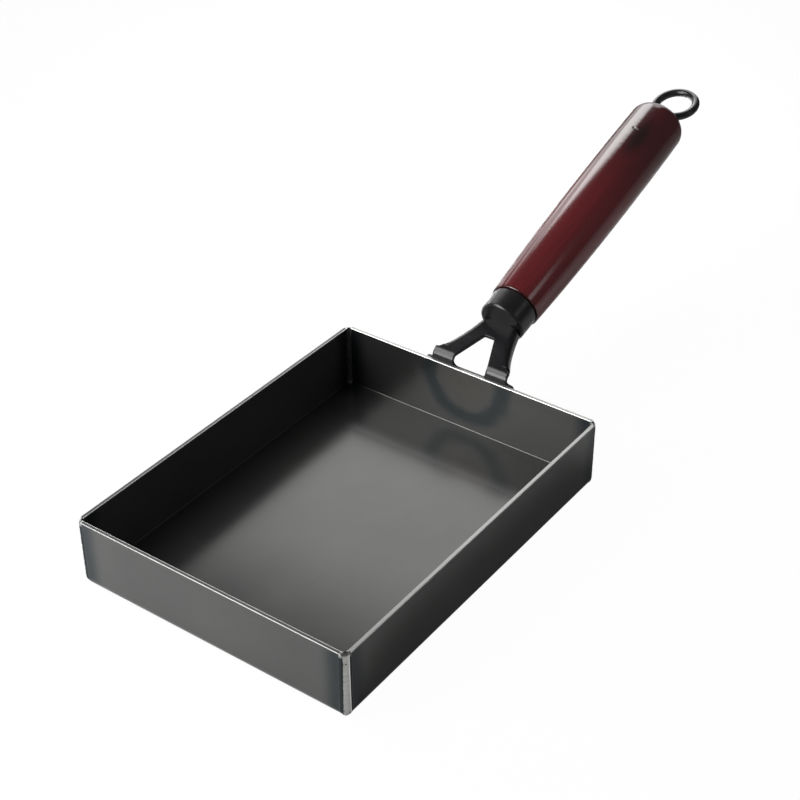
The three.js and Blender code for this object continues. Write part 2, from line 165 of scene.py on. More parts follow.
def fade(tree, value, low, high, to_low=0.0, to_high=1.0):
    """A smooth step of a value between two limits."""
    inputs = {"Value": value, "From Min": low, "From Max": high, "To Min": to_low, "To Max": to_high}
    return node(tree, "ShaderNodeMapRange", inputs, interpolation_type="SMOOTHSTEP").outputs["Result"]


def cloud(tree, vector, scale, detail=3.0, rough=0.5):
    inputs = {"Vector": vector, "Scale": scale, "Detail": detail, "Roughness": rough}
    return node(tree, "ShaderNodeTexNoise", inputs).outputs["Fac"]


def blend(tree, fac, a, b):
    """A mix of two colours. The node's inputs 6 and 7 are its colours."""
    return node(tree, "ShaderNodeMix", {0: fac, 6: a, 7: b}, data_type="RGBA").outputs[2]


def ramp(tree, fac, *stops):
    made = node(tree, "ShaderNodeValToRGB", {"Fac": fac})
    spots = made.color_ramp.elements
    while len(spots) < len(stops):
        spots.new(0.5)
    for spot, (place, colour) in zip(spots, stops):
        spot.position = place
        spot.color = (*colour, 1)
    return made.outputs["Color"]


def stretched(tree, vector, scale, turn=(0, 0, 0)):
    inputs = {"Vector": vector, "Scale": scale, "Rotation": turn}
    return node(tree, "ShaderNodeMapping", inputs).outputs["Vector"]


def bumped(tree, height, distance):
    inputs = {"Height": height, "Distance": distance, "Strength": 1.0}
    return node(tree, "ShaderNodeBump", inputs).outputs["Normal"]


def distance_to(tree, vector, point):
    return node(tree, "ShaderNodeVectorMath", {0: vector, 1: point}, operation="DISTANCE").outputs["Value"]


def in_millimetres(tree, vector, axes=(0, 1, 2)):
    split = node(tree, "ShaderNodeSeparateXYZ", {0: vector}).outputs
    return [maths(tree, "MULTIPLY", split[axis], 1 / MM) for axis in axes]


def pan_place(tree, place):
    """x, y and z in millimetres, and how far a point is inside the side faces and the end faces."""
    x, y, z = in_millimetres(tree, place)
    side = maths(tree, "SUBTRACT", HALF_X, maths(tree, "ABSOLUTE", x))
    end = maths(tree, "SUBTRACT", HALF_Y, maths(tree, "ABSOLUTE", y))
    return x, y, z, side, end


def new_finish(name, **sockets):
    """A material, its tree, its shader and the place on the object in metres."""
    made = bpy.data.materials.new(name)
    made.use_nodes = True
    tree = made.node_tree
    shader = tree.nodes["Principled BSDF"]
    for key, value in sockets.items():
        shader.inputs[key.replace("_", " ")].default_value = value
    place = node(tree, "ShaderNodeTexCoord").outputs["Object"]
    return made, tree, shader, place


def dress(tree, shader, **sockets):
    """Links each output to the shader's socket of that name."""
    for key, value in sockets.items():
        tree.links.new(value, shader.inputs[key.replace("_", " ")])


# Materials

def blued_steel():
    made, tree, shader, place = new_finish("blued_steel", Metallic=0.85)
    x, y, z, side, end = pan_place(tree, place)
    wander = maths(tree, "MULTIPLY_ADD", cloud(tree, place, 60.0, 3.0), 7.0, -3.5)

    # Rolled and blued sheet, slightly cloudy
    broad = cloud(tree, place, 16.0, 3.0, 0.55)
    fine = cloud(tree, place, 260.0, 4.0, 0.6)
    base = ramp(tree, broad, (0.25, (0.080, 0.080, 0.079)), (0.75, (0.100, 0.100, 0.097)))
    specks = ramp(tree, fine, (0.3, (0.075, 0.075, 0.075)), (0.7, (0.125, 0.125, 0.125)))
    base = blend(tree, 0.12, base, specks)

    # Heat of the corner welds: a blue band beside each corner
    corner = maths(tree, "ADD", maths(tree, "MAXIMUM", side, end), maths(tree, "MULTIPLY", wander, 0.5))
    near = maths(tree, "MULTIPLY", fade(tree, corner, 2.0, 4.5), fade(tree, corner, 5.5, 15.0, 1.0, 0.0))
    base = blend(tree, maths(tree, "MULTIPLY", near, 0.9), base, (0.026, 0.032, 0.036, 1))

    # Heat of the bracket's weld: a blue ring round a straw-coloured middle, on the back wall
    up = maths(tree, "SUBTRACT", z, 31.0)
    away = maths(tree, "ADD", maths(tree, "POWER", x, 2.0), maths(tree, "POWER", up, 2.0))
    away = maths(tree, "ADD", maths(tree, "SQRT", away), wander)
    back = fade(tree, y, 98.5, 99.6)
    ring = maths(tree, "MULTIPLY", fade(tree, away, 15.0, 20.0), fade(tree, away, 22.5, 30.0, 1.0, 0.0))
    ring = maths(tree, "MULTIPLY", ring, back)
    middle = maths(tree, "MULTIPLY", fade(tree, away, 10.0, 19.0, 1.0, 0.0), back)
    base = blend(tree, maths(tree, "MULTIPLY", middle, 0.5), base, (0.096, 0.090, 0.081, 1))
    base = blend(tree, maths(tree, "MULTIPLY", ring, 0.8), base, (0.032, 0.041, 0.045, 1))

    # Rim: a sawn edge, lighter than the sheet, with painted highlights along both its corners and a painted
    # sheen that makes it brightest on the right and back walls
    depth = maths(tree, "MINIMUM", side, end)
    across = maths(tree, "ABSOLUTE", maths(tree, "SUBTRACT", depth, SHEET / 2))
    top = fade(tree, z, RIM - 0.42, RIM - 0.25)
    corners = maths(tree, "MULTIPLY", top, fade(tree, across, 0.55, 0.72))
    # Painted sheen: the sawn top is coloured brighter on the right and back walls
    back_rim_sheen_mask = fade(tree, y, HALF_Y - 3.0, HALF_Y - 2.0)
    rim_sheen_mask = maths(tree, "MAXIMUM", back_rim_sheen_mask, fade(tree, x, HALF_X - 3.0, HALF_X - 2.0))
    sawn_with_sheen = ramp(tree, rim_sheen_mask, (0.0, (0.075, 0.075, 0.074)), (1.0, (0.38, 0.38, 0.37)))
    base = blend(tree, maths(tree, "MULTIPLY", top, 0.8), base, sawn_with_sheen)
    # Painted highlights on the rim's two corners: a bright colour on corners facing right or back and on both
    # corners of the back rim, a dimmer one on the rest
    normal = node(tree, "ShaderNodeNewGeometry").outputs["Normal"]
    faces = node(tree, "ShaderNodeSeparateXYZ", {0: normal}).outputs
    sheen_facing = fade(tree, maths(tree, "ADD", faces[0], faces[1]), -0.2, 0.2)
    sheen_facing = maths(tree, "MAXIMUM", sheen_facing, back_rim_sheen_mask)
    lines = cloud(tree, stretched(tree, place, (40.0, 40.0, 900.0)), 3.0, 4.0, 0.6)
    shaded_edge_tone = ramp(tree, lines, (0.25, (0.17, 0.17, 0.167)), (0.75, (0.28, 0.28, 0.275)))
    ground = ramp(tree, lines, (0.25, (0.60, 0.60, 0.59)), (0.75, (0.84, 0.84, 0.82)))
    colour = blend(tree, corners, base, blend(tree, sheen_facing, shaded_edge_tone, ground))

    rough = maths(tree, "MULTIPLY_ADD", broad, 0.05, 0.17)
    rough = maths(tree, "MULTIPLY_ADD", fine, 0.04, rough)
    rough = maths(tree, "MULTIPLY_ADD", top, 0.15, rough)
    # In the bump only, the tray's floor lifts a little towards the back fold
    curl = maths(tree, "MAXIMUM", maths(tree, "SUBTRACT", y, 66.0), 0.0)
    curl = maths(tree, "MULTIPLY", curl, 0.036)
    curl = maths(tree, "MULTIPLY", curl, fade(tree, z, SHEET + 0.2, SHEET + 0.5, 1.0, 0.0))
    waves = maths(tree, "ADD", cloud(tree, place, 9.0, 1.0), curl)
    waves = maths(tree, "MULTIPLY_ADD", fine, 0.006, waves)
    dress(tree, shader, Base_Color=colour, Roughness=rough, Normal=bumped(tree, waves, 0.0006))
    return made


def ground_steel():
    made, tree, shader, place = new_finish("ground_steel", Metallic=1.0)
    _, _, z, side, end = pan_place(tree, place)
    lines = cloud(tree, stretched(tree, place, (90.0, 90.0, 1100.0)), 2.0, 5.0, 0.65)
    pits = cloud(tree, place, 420.0, 2.0, 0.5)
    hollow = maths(tree, "MULTIPLY_ADD", pits, 0.0016, distance_to(tree, place, HOLLOW))
    pit = maths(tree, "MAXIMUM", fade(tree, pits, 0.70, 0.76), fade(tree, hollow, 0.0011, 0.0016, 1.0, 0.0))
    colour = ramp(tree, lines, (0.25, (0.27, 0.27, 0.26)), (0.75, (0.50, 0.50, 0.48)))
    colour = blend(tree, pit, colour, (0.05, 0.05, 0.05, 1))

    # Only the middle is ground bright: narrower towards the rim, with one crisp edge, lined by a painted
    # highlight, and one ragged one
    ragged = maths(tree, "MULTIPLY_ADD", cloud(tree, place, 380.0, 3.0), 1.3, -0.65)
    lean = maths(tree, "SUBTRACT", side, end)
    past = maths(tree, "SUBTRACT", maths(tree, "ADD", lean, ragged), fade(tree, z, 0.0, RIM, 1.8, 1.45))
    beyond = maths(tree, "SUBTRACT", maths(tree, "MULTIPLY", lean, -1.0), fade(tree, z, 0.0, RIM, 3.05, 2.6))
    # Painted highlight: a near-white line along the crisp edge
    edge = maths(tree, "MULTIPLY", fade(tree, beyond, -0.5, -0.3), fade(tree, beyond, -0.1, 0.1, 1.0, 0.0))
    colour = blend(tree, edge, colour, (0.92, 0.92, 0.90, 1))
    burnt = maths(tree, "MAXIMUM", fade(tree, past, -0.15, 0.15), fade(tree, beyond, -0.05, 0.2))
    burnt = maths(tree, "MULTIPLY", burnt, fade(tree, z, RIM - 2.5, RIM - 1.0, 1.0, 0.25))
    colour = blend(tree, burnt, colour, (0.034, 0.040, 0.043, 1))
    rough = maths(tree, "MULTIPLY_ADD", lines, 0.25, 0.25)
    rough = maths(tree, "MULTIPLY_ADD", burnt, 0.3, rough)
    height = maths(tree, "SUBTRACT", lines, maths(tree, "MULTIPLY", pit, 1.5))
    dress(tree, shader, Base_Color=colour, Roughness=rough, Normal=bumped(tree, height, 0.0001))
    return made


def black_paint():
    made, tree, shader, place = new_finish("black_paint", Specular_IOR_Level=0.4)
    broad = cloud(tree, place, 90.0, 3.0)
    peel = cloud(tree, place, 1500.0, 2.0)
    colour = ramp(tree, broad, (0.3, (0.005, 0.005, 0.006)), (0.7, (0.009, 0.009, 0.010)))
    # Burnt dull beside the weld
    (z,) = in_millimetres(tree, place, (2,))
    low = fade(tree, z, RIM + 0.5, RIM + 2.5, 1.0, 0.0)
    rough = maths(tree, "MULTIPLY_ADD", broad, 0.12, 0.18)
    rough = maths(tree, "MULTIPLY_ADD", low, 0.35, rough)
    dress(tree, shader, Base_Color=colour, Roughness=rough, Normal=bumped(tree, peel, 0.000006))
    return made


def black_moulding():
    made, tree, shader, place = new_finish("black_moulding", Specular_IOR_Level=0.5)
    grain = cloud(tree, place, 500.0, 2.0)
    broad = cloud(tree, place, 60.0, 2.0)
    colour = ramp(tree, broad, (0.3, (0.006, 0.006, 0.006)), (0.7, (0.010, 0.010, 0.010)))
    rough = maths(tree, "MULTIPLY_ADD", grain, 0.06, 0.22)
    dress(tree, shader, Base_Color=colour, Roughness=rough, Normal=bumped(tree, grain, 0.000002))
    return made


def lacquered_wood():
    made, tree, shader, place = new_finish("lacquered_wood", Specular_IOR_Level=0.0, Coat_Weight=0.45,
                                           Coat_Roughness=0.15, Coat_IOR=2.6)
    origin = (0, -HALF_Y * MM, -AXIS_Z * MM)
    shifted = node(tree, "ShaderNodeVectorMath", {0: place, 1: origin}, operation="ADD").outputs[0]
    local = stretched(tree, shifted, (1, 1, 1), (-TILT, 0, 0))
    (along,) = in_millimetres(tree, local, (1,))
    grain = cloud(tree, stretched(tree, local, (170.0, 5.0, 170.0)), 3.0, 5.0, 0.6)
    streak = cloud(tree, stretched(tree, local, (32.0, 2.2, 32.0)), 2.0, 3.0, 0.5)
    tone = maths(tree, "MULTIPLY_ADD", grain, 0.35, maths(tree, "MULTIPLY", streak, 0.65))
    colour = ramp(tree, tone, (0.25, (0.050, 0.0040, 0.0054)), (0.5, (0.080, 0.0060, 0.0082)),
                  (0.75, (0.116, 0.0100, 0.0130)))
    # Darker towards the tail, and painted shade at the front edge, in the gap against the ferrule
    darker_tail_and_gap_shade = fade(tree, maths(tree, "MULTIPLY_ADD", streak, 60.0, along), 140.0, 215.0, 0.0, 0.7)
    darker_tail_and_gap_shade = maths(tree, "MAXIMUM", darker_tail_and_gap_shade, fade(tree, along, WOOD_FRONT + 0.3, WOOD_FRONT + 1.3, 0.9, 0.0))
    colour = blend(tree, darker_tail_and_gap_shade, colour, (0.022, 0.0030, 0.0038, 1))
    # A long stain on top near the tail, and painted shade inside the nick
    stain = distance_to(tree, stretched(tree, local, (1, 0.35, 1)), (0.0050, 0.0596, 0.0150))
    stain = fade(tree, maths(tree, "MULTIPLY_ADD", streak, 0.004, stain), 0.0030, 0.0095, 0.85, 0.0)
    squeeze = 2.2
    nick_shade = (NICK_X * MM, squeeze * NICK_ALONG * MM, 0.0156)
    nick_shade = distance_to(tree, stretched(tree, local, (1, squeeze, 1)), nick_shade)
    nick_shade = fade(tree, nick_shade, 0.0013, 0.0018, 1.0, 0.0)
    colour = blend(tree, maths(tree, "MAXIMUM", stain, nick_shade), colour, (0.006, 0.0018, 0.0022, 1))
    rough = maths(tree, "MULTIPLY_ADD", grain, 0.2, 0.4)
    # Pores, and turning marks that grow towards the tail
    pores = cloud(tree, stretched(tree, local, (900.0, 60.0, 900.0)), 1.5, 3.0)
    rings = cloud(tree, stretched(tree, local, (30.0, 900.0, 30.0)), 1.0, 2.0)
    rings = maths(tree, "MULTIPLY", rings, fade(tree, along, 130.0, 175.0, 0.5, 3.5))
    relief = bumped(tree, maths(tree, "ADD", rings, pores), 0.00002)
    dress(tree, shader, Base_Color=colour, Roughness=rough, Normal=relief, Coat_Normal=relief)
    return made


def black_wire():
    made, tree, shader, place = new_finish("black_wire", Specular_IOR_Level=0.5)
    broad = cloud(tree, place, 140.0, 3.0)
    colour = ramp(tree, broad, (0.3, (0.006, 0.006, 0.006)), (0.7, (0.012, 0.012, 0.012)))
    rough = maths(tree, "MULTIPLY_ADD", broad, 0.10, 0.19)
    peel = cloud(tree, place, 900.0, 2.0)
    dress(tree, shader, Base_Color=colour, Roughness=rough, Normal=bumped(tree, peel, 0.000003))
    return made


def plain_steel():
    made, tree, shader, place = new_finish("plain_steel", Metallic=1.0)
    turned = cloud(tree, stretched(tree, place, (20.0, 1500.0, 20.0), (-TILT, 0, 0)), 1.0, 3.0)
    colour = ramp(tree, turned, (0.3, (0.42, 0.42, 0.40)), (0.7, (0.60, 0.60, 0.57)))
    rough = maths(tree, "MULTIPLY_ADD", turned, 0.2, 0.25)
    dress(tree, shader, Base_Color=colour, Roughness=rough, Normal=bumped(tree, turned, 0.00004))
    return made


# Meshes

def piece(name, verts, faces, material, cad_node, sharp=40, weighted=False):
    """A piece from points in millimetres, which stands for one CAD node and rides with the pan."""
    mesh = bpy.data.meshes.new(name)
    mesh.from_pydata([(px * MM, py * MM, pz * MM) for px, py, pz in verts], [], faces)
    work = bmesh.new()
    work.from_mesh(mesh)
    bmesh.ops.remove_doubles(work, verts=work.verts, dist=1e-7)
    bmesh.ops.delete(work, geom=[v for v in work.verts if not v.link_faces], context="VERTS")
    bmesh.ops.recalc_face_normals(work, faces=work.faces)
    work.to_mesh(mesh)
    work.free()
    mesh.shade_smooth()
    mesh.set_sharp_from_angle(angle=math.radians(sharp))
    mesh.materials.append(material)
    obj = bpy.data.objects.new(name, mesh)
    scene.collection.objects.link(obj)
    if weighted:
        even = obj.modifiers.new("even_normals", "WEIGHTED_NORMAL")
        even.keep_sharp = True
    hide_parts(cad_node)
    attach(obj, "root")
    return obj


def skin(rings):
    """Faces between closed rings of equally many points. A ring of one point closes to a tip."""
    verts, starts, faces = [], [], []
    for ring in rings:
        starts.append(len(verts))
        verts.extend(ring)
    for k in range(len(rings) - 1):
        a, b, na, nb = starts[k], starts[k + 1], len(rings[k]), len(rings[k + 1])
        count = max(na, nb)
        for i in range(count):
            j = (i + 1) % count
            quad = [a + i % na, a + j % na, b + j % nb, b + i % nb]
            faces.append(list(dict.fromkeys(quad)))
    return verts, faces, starts


def lathe(profile, segments):
    """A profile of radius and distance, turned about the handle line."""
    turn = [2 * math.pi * i / segments for i in range(segments)]
    rings = []
    for radius, along in profile:
        if radius < 1e-6:
            rings.append([on_handle(0, along, 0)])
        else:
            rings.append([on_handle(radius * math.cos(t), along, radius * math.sin(t)) for t in turn])
    verts, faces, _ = skin(rings)
    return verts, faces


def tube(points, radii, sides):
    """A round tube along points in the handle's frame, with flat ends."""
    turn = [2 * math.pi * k / sides for k in range(sides)]
    rings, side = [], Vector((1, 0, 0))
    for i, point in enumerate(points):
        ahead = (points[min(i + 1, len(points) - 1)] - points[max(i - 1, 0)]).normalized()
        side = (side - ahead * side.dot(ahead)).normalized()
        up = ahead.cross(side)
        ring = [point + (side * math.cos(t) + up * math.sin(t)) * radii[i] for t in turn]
        rings.append([on_handle(*p) for p in ring])
    rings = [[on_handle(*points[0])], *rings, [on_handle(*points[-1])]]
    verts, faces, _ = skin(rings)
    return verts, faces


def make_tray(material):
    """The folded sheet: one section of fold, wall and rim, run along four walls to the weld seams."""
    def fold(radius, centre):
        turn = {9.0 * i for i in range(11)}
        if centre - radius < SEAM < centre:
            turn.add(math.degrees(math.asin((centre - SEAM) / radius)))
        turn = [math.radians(t) for t in sorted(turn)]
        return [(centre - radius * math.sin(t), centre - radius * math.cos(t)) for t in turn]

    rim_in = arc(SHEET - RIM_EDGE, RIM - RIM_EDGE, RIM_EDGE, 0, 90, 5)
    rim_out = [(SHEET - out, z) for out, z in reversed(rim_in)]
    section = [*fold(CREASE, SHEET + CREASE), *rim_in, *rim_out, *reversed(fold(OUTER_BEND, OUTER_BEND))]
    free = [i for i, (out, _) in enumerate(section) if out <= SEAM + 1e-6]
    notch = len(section)  # the floor's corner beside a weld comes after the section
    verts, faces, top, bottom = [], [], [], []
    for wall in range(4):
        start = len(verts)
        sign = 1 if wall < 2 else -1
        for out, z in [*section, (SEAM, SHEET)]:
            stop = max(out, SEAM)
            for way in (-sign, sign):
                if wall % 2 == 0:
                    verts.append((way * (HALF_X - stop), -sign * (HALF_Y - out), z))
                else:
                    verts.append((sign * (HALF_X - out), way * (HALF_Y - stop), z))
        for i in range(notch - 1):
            a = start + 2 * i
            faces.append((a, a + 1, a + 3, a + 2))
        for way in (0, 1):
            faces.append([start + 2 * i + way for i in [*free, notch]])
        top += [start, start + 1, start + 2 * notch + 1]
        bottom.append(start + 2 * (notch - 1))
    faces += [top, bottom]
    return piece("tray_sheet", verts, faces, material, "pan_tray", 50, weighted=True)


def make_corner_weld(end_name, side_name, material):
    """Weld metal in one corner, ground to an uneven strip that rounds under at the foot."""
    sy = -1 if end_name == "front" else 1
    sx = -1 if side_name == "left" else 1
    seed = 7.0 * sx + 13.0 * sy
    swell = Vector((-1, -1)).normalized()

    def wobble(z, lane, size):
        slow = noise.noise(Vector((z * 0.55, seed, lane)))
        quick = noise.noise(Vector((z * 1.7, lane, seed)))
        return size * (slow + 0.5 * quick)

    # Heights, and how far the strip is drawn in at each
    levels = sorted([0.06, 0.15, SHEET - 0.001, SHEET, *(0.27 + 0.25 * i for i in range(20))])
    levels += [FOOT_TOP + (RIM - CREST - FOOT_TOP) * i / 70 for i in range(71)]
    stations = [(z, 0.0) for z in levels]
    stations += [(RIM - CREST + CREST * math.sin(math.radians(t)), CREST - CREST * math.cos(math.radians(t)))
                 for t in range(10, 100, 10)]
    rings = []
    for z, pull in stations:
        low = max(0.0, OUTER_BEND - z)
        sink = OUTER_BEND - math.sqrt(OUTER_BEND**2 - low**2)
        kept = min(3.5, 1.5 * sink + 0.12 * low) if sx < 0 else 0.72 * sink
        inner = SHEET
        if z < SHEET:
            inner = SEAM
        elif z < SHEET + CREASE:
            under = min(CREASE, SHEET + CREASE - z)
            inner = SHEET + CREASE - math.sqrt(CREASE**2 - under**2)
        left = max(min(STRIP_FRONT + wobble(z, 1.0, 0.34), SEAM - 0.08), kept + 0.1)
        right = max(min(STRIP_SIDE + wobble(z, 5.0, 0.12), SEAM - 0.08), kept + 0.1)
        one, two = Vector((left, kept)), Vector((kept, right))
        across = [one.lerp(two, t) + swell * (STRIP_SWELL * (1 - (2 * t - 1) ** 2) + wobble(z, 9.0 + t, 0.05))
                  for t in (0.12, 0.3, 0.5, 0.7, 0.88)]
        slope = sink + 0.75 * (kept - sink)
        outer = [Vector((SEAM, sink)), Vector((left + 0.25 * (SEAM - left), slope)), one, *across, two,
                 Vector((slope, right + 0.25 * (SEAM - right))), Vector((sink, SEAM))]
        middle = len(outer) // 2
        for i, point in enumerate(outer):
            share = 1 - abs(i - middle) / middle
            outer[i] = point + Vector((1, 1)) * pull * (0.25 + 0.5 * share)
        ring = [*outer, Vector((inner, SEAM)), Vector((inner, inner)), Vector((SEAM, inner))]
        rings.append([(sx * (HALF_X - p.x), sy * (HALF_Y - p.y), z) for p in ring])
    verts, faces, starts = skin(rings)
    count = len(rings[0])
    faces.append([starts[-1] + i for i in range(count)])
    faces.append([starts[0] + i for i in range(count)])
    node_name = f"corner_weld_{end_name}_{side_name}"
    return piece(f"ground_weld_{end_name}_{side_name}", verts, faces, material, node_name, 50)


def leg_half(along):
    """Half width across the bracket's turned-down edges, on a quadratic curve."""
    along = min(max(along, LEG_START), REACH)
    a = LEG_START - 2 * LEG_PULL + REACH
    b = 2 * (LEG_PULL - LEG_START)
    t = (-b + math.sqrt(b * b - 4 * a * (LEG_START - along))) / (2 * a)
    s = 1 - t
    return s * s * LEG_WIDTHS[0] + 2 * s * t * LEG_WIDTHS[1] + t * t * LEG_WIDTHS[2]


def bracket_point(x, run, lift):
    """A point of the flat blank, folded: run goes up the plate, over the fold and along the legs."""
    if run < 0:
        return (x, HALF_Y + PLATE_Y - lift, AXIS_Z + BEND_Z + run)
    if run < BEND_RUN:
        turn = math.pi - run / BEND_MID
        y = BEND_Y + (BEND_MID + lift) * math.cos(turn)
        z = BEND_Z + (BEND_MID + lift) * math.sin(turn)
        return (x, HALF_Y + y, AXIS_Z + z)
    along = BEND_END + run - BEND_RUN
    side, reach, square = math.copysign(1, x), abs(x), lift
    fold = leg_half(along) - FLANGE_FOLD
    if FLANGE_START - 0.3 <= along <= REACH + 0.01 and reach > fold:
        past = reach - fold
        turn = min(past / FLANGE_MID, math.pi / 2)
        reach = fold + (FLANGE_MID + lift) * math.sin(turn)
        square = -FLANGE_MID + (FLANGE_MID + lift) * math.cos(turn)
        square -= max(0.0, past - FLANGE_MID * math.pi / 2)
    return on_handle(side * reach, along, square)


def rounded_loop(corners, step):
    """A closed loop through corners of x, y and radius, with points no further apart than step."""
    loop = []
    for i, (x, y, radius) in enumerate(corners):
        here = Vector((x, y))
        if radius <= 0:
            loop.append(here)
            continue
        before = (Vector(corners[i - 1][:2]) - here).normalized()
        after = (Vector(corners[(i + 1) % len(corners)][:2]) - here).normalized()
        half = before.angle(after) / 2
        centre = here + (before + after).normalized() * (radius / math.sin(half))
        first = here + before * (radius / math.tan(half)) - centre
        last = here + after * (radius / math.tan(half)) - centre
        start = math.atan2(first.y, first.x)
        sweep = (math.atan2(last.y, last.x) - start + math.pi) % (2 * math.pi) - math.pi
        steps = max(3, math.ceil(abs(sweep) * radius / step))
        turn = [start + sweep * k / steps for k in range(steps + 1)]
        loop += [centre + Vector((math.cos(t), math.sin(t))) * radius for t in turn]
    dense = []
    for i, here in enumerate(loop):
        ahead = loop[(i + 1) % len(loop)]
        pieces = max(1, math.ceil((ahead - here).length / step))
        dense += [here.lerp(ahead, k / pieces) for k in range(pieces)]
    return dense


def mirrored(half):
    """Corners of a right half, from bottom to top on the centre line, with the left half added."""
    return half + [(-x, y, r) for x, y, r in reversed(half) if abs(x) > 1e-6]


def pressed_sheet(outline, hole, place, thick, edge, step):
    """A sheet cut to an outline with a hole, its edges rounded, each point put in place by a function."""
    quarter = [math.radians(t) for t in (90, 60, 30, 0)]
    profile = [(edge * (1 - math.cos(t)), thick - edge + edge * math.sin(t)) for t in quarter]
    profile += [(inset, -lift) for inset, lift in reversed(profile)]
    verts, faces, flat, links = [], [], [], []
    for loop in (outline, hole[::-1]):
        count = len(loop)
        out = []
        for i in range(count):
            along = (loop[(i + 1) % count] - loop[i - 1]).normalized()
            out.append(Vector((along.y, -along.x)))
        starts = []
        for inset, lift in profile:
            starts.append(len(verts))
            verts += [place(*(p - o * inset), lift) for p, o in zip(loop, out)]
        for a, b in zip(starts, starts[1:]):
            for i in range(count):
                j = (i + 1) % count
                faces.append((a + i, a + j, b + j, b + i))
        first = len(flat)
        flat += [p - o * edge for p, o in zip(loop, out)]
        links += [(first + i, first + (i + 1) % count) for i in range(count)]
    brink = flat[first:]  # where the flat face stops round the hole
    tree = kdtree.KDTree(len(flat))
    for i, p in enumerate(flat):
        tree.insert((p.x, p.y, 0), i)
    tree.balance()
    low = Vector((min(p.x for p in flat), min(p.y for p in flat)))
    high = Vector((max(p.x for p in flat), max(p.y for p in flat)))
    y = low.y
    while y < high.y:
        x = low.x
        while x < high.x:
            if tree.find((x, y, 0))[2] > 0.6 * step:
                flat.append(Vector((x, y)))
            x += step
        y += step
    points, _, triangles, *_ = delaunay_2d_cdt(flat, links, [], 1, 1e-5)

    def in_hole(p):
        inside = False
        for i, a in enumerate(brink):
            b = brink[i - 1]
            if (a.y > p.y) != (b.y > p.y) and p.x < (b.x - a.x) * (p.y - a.y) / (b.y - a.y) + a.x:
                inside = not inside
        return inside

    for lift in (thick, -thick):
        start = len(verts)
        verts += [place(p.x, p.y, lift) for p in points]
        for triangle in triangles:
            if not in_hole(sum((points[i] for i in triangle), Vector((0, 0))) / 3):
                faces.append([start + i for i in triangle])
    return verts, faces


def make_bracket(material):
    """The stamped bracket: a blank with its window, folded over at the wall and along the legs' edges."""
    def up(z):
        return z - AXIS_Z - BEND_Z

    def out(along):
        return BEND_RUN + along - BEND_END

    def leg(along, past, radius=0):
        return (leg_half(along) + past, out(along), radius)

    relief = FLANGE_START - RELIEF
    foot = FLANGE_FOOT - FLANGE_FOLD
    half = [(x, up(z), 0) for x, z in arc(0, FOOT_Z, FOOT_R, -90, -PLATE_LEAN, 40)]
    half += [(x, up(z), 0) for x, z in arc(PLATE_HALF - SHOULDER_R, SHOULDER_Z, SHOULDER_R, 0, 60, 8)]
    half += [(ROOT_HALF, -0.4, 1.2), (ROOT_HALF, BEND_RUN, 0)]
    half += [leg(BEND_END + (relief - BEND_END) * t, -RAW_INSET) for t in (0.2, 0.4, 0.6, 0.8)]
    half += [leg(relief, -RAW_INSET, 0.45), leg(relief, -RELIEF_INSET, 0.15),
             leg(FLANGE_START, -RELIEF_INSET, 0.15), leg(FLANGE_START, foot, 1.0)]
    half += [leg(FLANGE_START + (REACH - FLANGE_START) * (i / 20), foot) for i in range(2, 20)]
    half += [leg(REACH, foot, 0.4), (TANG_WIDE, out(REACH), 0.4), (TANG_WIDE, out(TANG_SHOULDER), 1.0),
             (TANG_NARROW, out(TANG_NECK), 1.0), (TANG_NARROW, out(TANG_END), 0.5)]
    window = [(WINDOW_HALF, up(WINDOW_SILL), 2.8), (WINDOW_HALF, BEND_RUN - 1.5, 4.0),
              (WINDOW_TIP_HALF, out(WINDOW_TIP), 0.8)]
    verts, faces = pressed_sheet(rounded_loop(mirrored(half), OUTLINE_STEP),
                                 rounded_loop(mirrored(window), WINDOW_STEP),
                                 bracket_point, HALF_T, BLANK_EDGE, FACE_STEP)
    return piece("bracket_stamping", verts, faces, material, "handle_bracket", 60)


def make_bead(material):
    """The weld bead round the mounting plate, with the ripples of its run."""
    right = arc(0, FOOT_Z, FOOT_R, -90, -PLATE_LEAN, 60)
    last_x, last_z = right[-1]
    right += [(last_x + (PLATE_HALF - last_x) * t, last_z + (SHOULDER_Z - last_z) * t)
              for t in (i / 20 for i in range(1, 21))]
    route = [Vector(p) for p in [(-x, z) for x, z in reversed(right)] + right[1:]]
    dense = []
    for a, b in zip(route, route[1:]):
        steps = max(1, math.ceil((b - a).length / BEAD_STEP))
        dense += [a.lerp(b, k / steps) for k in range(steps)]
    dense.append(route[-1])
    total = sum((b - a).length for a, b in zip(dense, dense[1:]))
    rings, run = [], 0.0
    for i, point in enumerate(dense):
        if i:
            run += (point - dense[i - 1]).length
        along = (dense[min(i + 1, len(dense) - 1)] - dense[max(i - 1, 0)]).normalized()
        away = Vector((along.y, -along.x))
        ends = min(1.0, math.sqrt(max(0.02, min(run, total - run) / BEAD_RUN_OUT)))
        ring = []
        for k in range(BEAD_SIDES):
            turn = math.radians(-8 + 116 * k / (BEAD_SIDES - 1))
            ripple = (run / BEAD_PITCH - 0.22 * math.cos(2 * (turn - 0.78))) % 1.0
            radius = BEAD_R * ends * (1 + 0.07 * (ripple - 0.5))
            radius += 0.12 * noise.noise(Vector((run * 0.4, k * 0.2, 3.0)))
            aside = max(-0.9, radius * math.cos(turn))
            ring.append((point.x + away.x * aside, HALF_Y + max(0.02, radius * math.sin(turn)),
                         point.y + away.y * aside))
        rings.append(ring)
    verts, faces, starts = skin(rings)
    faces.append([starts[0] + k for k in range(BEAD_SIDES)])
    faces.append([starts[-1] + k for k in range(BEAD_SIDES)])
    return piece("plate_bead", verts, faces, material, "bracket_weld", 70)


